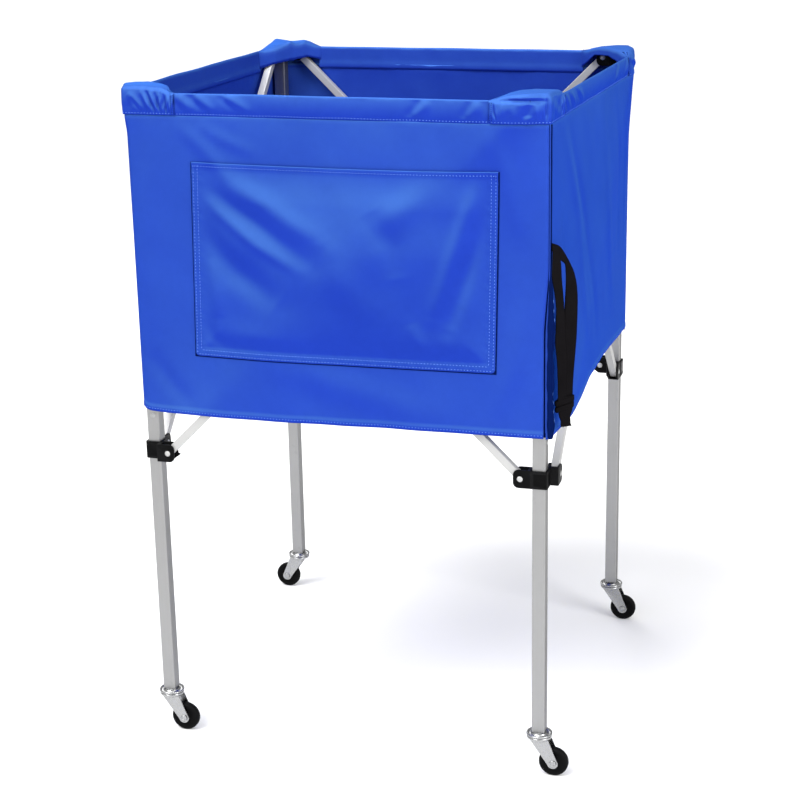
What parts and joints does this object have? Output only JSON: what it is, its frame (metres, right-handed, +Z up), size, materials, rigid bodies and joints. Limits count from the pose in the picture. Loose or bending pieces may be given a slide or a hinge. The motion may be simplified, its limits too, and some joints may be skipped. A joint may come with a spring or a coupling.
{
  "type": "folding ball cart",
  "caption": "Square folding ball cart: a deep cloth basket with a front pocket on four tube legs joined by scissor bars that slide to close the frame, on swivel casters.",
  "frame": {"origin": "on the ground, in the middle of the open cart", "axes": "+Z up, +X to the right along the front wall, +Y to the back; the pocket is on the front wall at -Y"},
  "size_m": [0.7016, 0.6668, 1.0437],
  "materials": {
    "legs": "satin",
    "bars": "satin, lighter than the legs",
    "moulding": "moulded black nylon",
    "chrome": "bright plated steel",
    "rivets": "plain",
    "wheels": "solid, moulded",
    "cloth": "coated royal blue nylon",
    "webbing": "woven black webbing"
  },
  "bodies": {
    "front_left_post": {"leg_front_left": "legs", "top_bracket_front_left": "moulding", "caster_stem_front_left": "chrome", "leg_rivet_front_left": "rivets", "rim_hood_front_left": "cloth", "wall_front": "cloth", "wall_left": "cloth", "front_pocket": "cloth"},
    "front_right_post": {"leg_front_right": "legs", "top_bracket_front_right": "moulding", "caster_stem_front_right": "chrome", "leg_rivet_front_right": "rivets", "rim_hood_front_right": "cloth", "wall_right": "cloth", "carry_strap": "webbing", "strap_keeper": "webbing"},
    "back_right_post": {"leg_back_right": "legs", "top_bracket_back_right": "moulding", "caster_stem_back_right": "chrome", "leg_rivet_back_right": "rivets", "rim_hood_back_right": "cloth"},
    "back_left_post": {"leg_back_left": "legs", "top_bracket_back_left": "moulding", "caster_stem_back_left": "chrome", "leg_rivet_back_left": "rivets", "rim_hood_back_left": "cloth", "wall_back": "cloth"},
    "front_inner_bar": {"bar_front_inner": "bars", "cross_rivet_front": "rivets"},
    "front_outer_bar": {"bar_front_outer": "bars"},
    "right_inner_bar": {"bar_right_inner": "bars", "cross_rivet_right": "rivets"},
    "right_outer_bar": {"bar_right_outer": "bars"},
    "back_outer_bar": {"bar_back_outer": "bars", "cross_rivet_back": "rivets"},
    "back_inner_bar": {"bar_back_inner": "bars"},
    "left_outer_bar": {"bar_left_outer": "bars", "cross_rivet_left": "rivets"},
    "left_inner_bar": {"bar_left_inner": "bars"},
    "floor_front_half": {"floor_front": "cloth"},
    "floor_back_half": {"floor_back": "cloth"},
    "slider_front_left": {"slider_front_left": "moulding"},
    "caster_front_left": {"caster_fork_front_left": "chrome", "caster_axle_front_left": "chrome"},
    "wheel_front_left": {"caster_wheel_front_left": "wheels"},
    "slider_front_right": {"slider_front_right": "moulding"},
    "caster_front_right": {"caster_fork_front_right": "chrome", "caster_axle_front_right": "chrome"},
    "wheel_front_right": {"caster_wheel_front_right": "wheels"},
    "slider_back_right": {"slider_back_right": "moulding"},
    "caster_back_right": {"caster_fork_back_right": "chrome", "caster_axle_back_right": "chrome"},
    "wheel_back_right": {"caster_wheel_back_right": "wheels"},
    "slider_back_left": {"slider_back_left": "moulding"},
    "caster_back_left": {"caster_fork_back_left": "chrome", "caster_axle_back_left": "chrome"},
    "wheel_back_left": {"caster_wheel_back_left": "wheels"}
  },
  "joints": [
    {"name": "frame_fold", "type": "hinge", "parent": "front_left_post", "child": "front_inner_bar", "pos_m": [-0.277, -0.308, 1.025], "axis": [0, 1, 0], "range_deg": [0, 38.5], "deforming": ["wall_front", "front_pocket", "wall_left", "wall_right", "wall_back", "floor_front", "floor_back"]},
    {"name": "front_cross", "type": "hinge", "parent": "front_inner_bar", "child": "front_outer_bar", "pos_m": [0, -0.3143, 0.753], "axis": [0, 1, 0], "range_deg": [-77, 0]},
    {"name": "front_right_top_pin", "type": "hinge", "parent": "front_outer_bar", "child": "front_right_post", "pos_m": [0.277, -0.3206, 1.025], "axis": [0, 1, 0], "range_deg": [0, 38.5]},
    {"name": "front_left_slider_pin", "type": "hinge", "parent": "front_outer_bar", "child": "slider_front_left", "pos_m": [-0.277, -0.3206, 0.481], "axis": [0, 1, 0], "range_deg": [0, 38.5]},
    {"name": "front_right_slider_pin", "type": "hinge", "parent": "front_inner_bar", "child": "slider_front_right", "pos_m": [0.277, -0.308, 0.481], "axis": [0, 1, 0], "range_deg": [-38.5, 0]},
    {"name": "left_outer_top_pin", "type": "hinge", "parent": "front_left_post", "child": "left_outer_bar", "pos_m": [-0.3206, -0.277, 1.025], "axis": [1, 0, 0], "range_deg": [-38.5, 0]},
    {"name": "left_cross", "type": "hinge", "parent": "left_outer_bar", "child": "left_inner_bar", "pos_m": [-0.3143, 0, 0.753], "axis": [1, 0, 0], "range_deg": [0, 77]},
    {"name": "back_left_top_pin", "type": "hinge", "parent": "left_inner_bar", "child": "back_left_post", "pos_m": [-0.308, 0.277, 1.025], "axis": [1, 0, 0], "range_deg": [-38.5, 0]},
    {"name": "back_left_slider_pin", "type": "hinge", "parent": "left_outer_bar", "child": "slider_back_left", "pos_m": [-0.3206, 0.277, 0.481], "axis": [1, 0, 0], "range_deg": [0, 38.5]},
    {"name": "right_inner_top_pin", "type": "hinge", "parent": "front_right_post", "child": "right_inner_bar", "pos_m": [0.308, -0.277, 1.025], "axis": [-1, 0, 0], "range_deg": [0, 38.5]},
    {"name": "right_cross", "type": "hinge", "parent": "right_inner_bar", "child": "right_outer_bar", "pos_m": [0.3143, 0, 0.753], "axis": [-1, 0, 0], "range_deg": [-77, 0]},
    {"name": "back_right_top_pin", "type": "hinge", "parent": "right_outer_bar", "child": "back_right_post", "pos_m": [0.3206, 0.277, 1.025], "axis": [-1, 0, 0], "range_deg": [0, 38.5]},
    {"name": "back_right_slider_pin", "type": "hinge", "parent": "right_inner_bar", "child": "slider_back_right", "pos_m": [0.308, 0.277, 0.481], "axis": [-1, 0, 0], "range_deg": [-38.5, 0]},
    {"name": "back_outer_top_pin", "type": "hinge", "parent": "back_left_post", "child": "back_outer_bar", "pos_m": [-0.277, 0.3206, 1.025], "axis": [0, -1, 0], "range_deg": [-38.5, 0]},
    {"name": "back_cross", "type": "hinge", "parent": "back_outer_bar", "child": "back_inner_bar", "pos_m": [0, 0.3143, 0.753], "axis": [0, -1, 0], "range_deg": [0, 77]},
    {"name": "floor_front_hinge", "type": "hinge", "parent": "front_left_post", "child": "floor_front_half", "pos_m": [0, -0.32513, 0.588], "axis": [-1, 0, 0], "range_deg": [0, 77]},
    {"name": "floor_back_hinge", "type": "hinge", "parent": "back_left_post", "child": "floor_back_half", "pos_m": [0, 0.32513, 0.588], "axis": [1, 0, 0], "range_deg": [0, 77]},
    {"name": "swivel_front_left", "type": "hinge", "parent": "front_left_post", "child": "caster_front_left", "pos_m": [-0.305, -0.305, 0.0666], "axis": [0, 0, 1], "continuous": true},
    {"name": "wheel_spin_front_left", "type": "hinge", "parent": "caster_front_left", "child": "wheel_front_left", "pos_m": [-0.2822, -0.305, 0.023], "axis": [0, 1, 0], "continuous": true},
    {"name": "swivel_front_right", "type": "hinge", "parent": "front_right_post", "child": "caster_front_right", "pos_m": [0.305, -0.305, 0.0666], "axis": [0, 0, 1], "continuous": true},
    {"name": "wheel_spin_front_right", "type": "hinge", "parent": "caster_front_right", "child": "wheel_front_right", "pos_m": [0.3278, -0.305, 0.023], "axis": [0, 1, 0], "continuous": true},
    {"name": "swivel_back_right", "type": "hinge", "parent": "back_right_post", "child": "caster_back_right", "pos_m": [0.305, 0.305, 0.0666], "axis": [0, 0, 1], "continuous": true},
    {"name": "wheel_spin_back_right", "type": "hinge", "parent": "caster_back_right", "child": "wheel_back_right", "pos_m": [0.3278, 0.305, 0.023], "axis": [0, 1, 0], "continuous": true},
    {"name": "swivel_back_left", "type": "hinge", "parent": "back_left_post", "child": "caster_back_left", "pos_m": [-0.305, 0.305, 0.0666], "axis": [0, 0, 1], "continuous": true},
    {"name": "wheel_spin_back_left", "type": "hinge", "parent": "caster_back_left", "child": "wheel_back_left", "pos_m": [-0.3278, 0.305, 0.023], "axis": [0, 1, 0], "continuous": true}
  ],
  "couplings": [
    {"joint": "front_cross", "follows": "frame_fold", "ratio": -2},
    {"joint": "front_right_top_pin", "follows": "frame_fold", "ratio": 1},
    {"joint": "front_left_slider_pin", "follows": "frame_fold", "ratio": 1},
    {"joint": "front_right_slider_pin", "follows": "frame_fold", "ratio": -1},
    {"joint": "left_outer_top_pin", "follows": "frame_fold", "ratio": -1},
    {"joint": "left_cross", "follows": "frame_fold", "ratio": 2},
    {"joint": "back_left_top_pin", "follows": "frame_fold", "ratio": -1},
    {"joint": "back_left_slider_pin", "follows": "frame_fold", "ratio": 1},
    {"joint": "right_inner_top_pin", "follows": "frame_fold", "ratio": 1},
    {"joint": "right_cross", "follows": "frame_fold", "ratio": -2},
    {"joint": "back_right_top_pin", "follows": "frame_fold", "ratio": 1},
    {"joint": "back_right_slider_pin", "follows": "frame_fold", "ratio": -1},
    {"joint": "back_outer_top_pin", "follows": "frame_fold", "ratio": -1},
    {"joint": "back_cross", "follows": "frame_fold", "ratio": 2},
    {"joint": "floor_front_hinge", "follows": "frame_fold", "ratio": 2},
    {"joint": "floor_back_hinge", "follows": "frame_fold", "ratio": 2}
  ]
}
